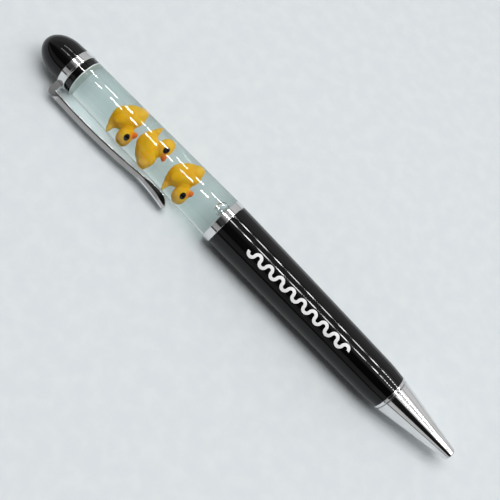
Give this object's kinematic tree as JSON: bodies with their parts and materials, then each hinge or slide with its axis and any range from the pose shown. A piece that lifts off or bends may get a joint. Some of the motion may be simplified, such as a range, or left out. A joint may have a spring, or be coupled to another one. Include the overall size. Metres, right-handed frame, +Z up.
{
  "type": "floaty pen",
  "caption": "Twist-action ballpoint pen whose upper half is a clear oil-filled tube with floating ducks, with a black lower barrel, bright nose cone and pocket clip.",
  "frame": {"origin": "on the pen's axis, in the middle of the centre band", "axes": "+X along the pen towards the writing end, +Z up; the pen lies on a table, resting on its centre band and on the edge of its clip, which is on the -Y side"},
  "size_m": [0.14, 0.0146, 0.0122],
  "materials": {
    "black_lacquer": "high gloss",
    "chrome_plate": "mirror",
    "clear_acrylic": "polished, clear",
    "clear_oil": "clear liquid",
    "white_stopper": "moulded",
    "seal_rubber": "matt",
    "duck_vinyl": "soft gloss",
    "eye_paint": "high gloss",
    "white_acetal": "moulded",
    "spring_steel": "drawn wire",
    "refill_brass": "drawn tube",
    "blue_ink": "paste",
    "white_print": "printed film"
  },
  "bodies": {
    "upper": {"dome_cap": "black_lacquer", "clip_band": "chrome_plate", "clip": "chrome_plate", "clear_tube": "clear_acrylic", "top_plug": "white_stopper", "top_seal": "seal_rubber", "bottom_plug": "white_stopper", "bottom_seal": "seal_rubber", "centre_band": "chrome_plate", "guide_tube": "white_acetal", "retaining_ring": "spring_steel", "oil_fill": "clear_oil", "duck_1": "duck_vinyl", "duck_2": "duck_vinyl", "duck_3": "duck_vinyl", "duck_1_eyes": "eye_paint", "duck_2_eyes": "eye_paint", "duck_3_eyes": "eye_paint"},
    "lower": {"cam_sleeve": "white_acetal", "lower_barrel": "black_lacquer", "barrel_print": "white_print", "nose_ring": "chrome_plate", "nose_cone": "chrome_plate", "return_spring": "spring_steel"},
    "refill": {"follower": "white_acetal", "follower_pin": "spring_steel", "refill_tube": "refill_brass", "refill_tip": "refill_brass", "writing_ball": "spring_steel", "ink_fill": "blue_ink"}
  },
  "joints": [
    {"name": "barrel_twist", "type": "hinge", "parent": "upper", "child": "lower", "pos_m": [0.0011, 0, 0], "axis": [1, 0, 0], "range_deg": [0, 150]},
    {"name": "refill_slide", "type": "slide", "parent": "upper", "child": "refill", "axis": [1, 0, 0], "range_m": [0, 0.004], "deforming": ["return_spring"]}
  ],
  "couplings": [
    {"joint": "refill_slide", "follows": "barrel_twist", "m_per_rad": 0.0015279}
  ]
}
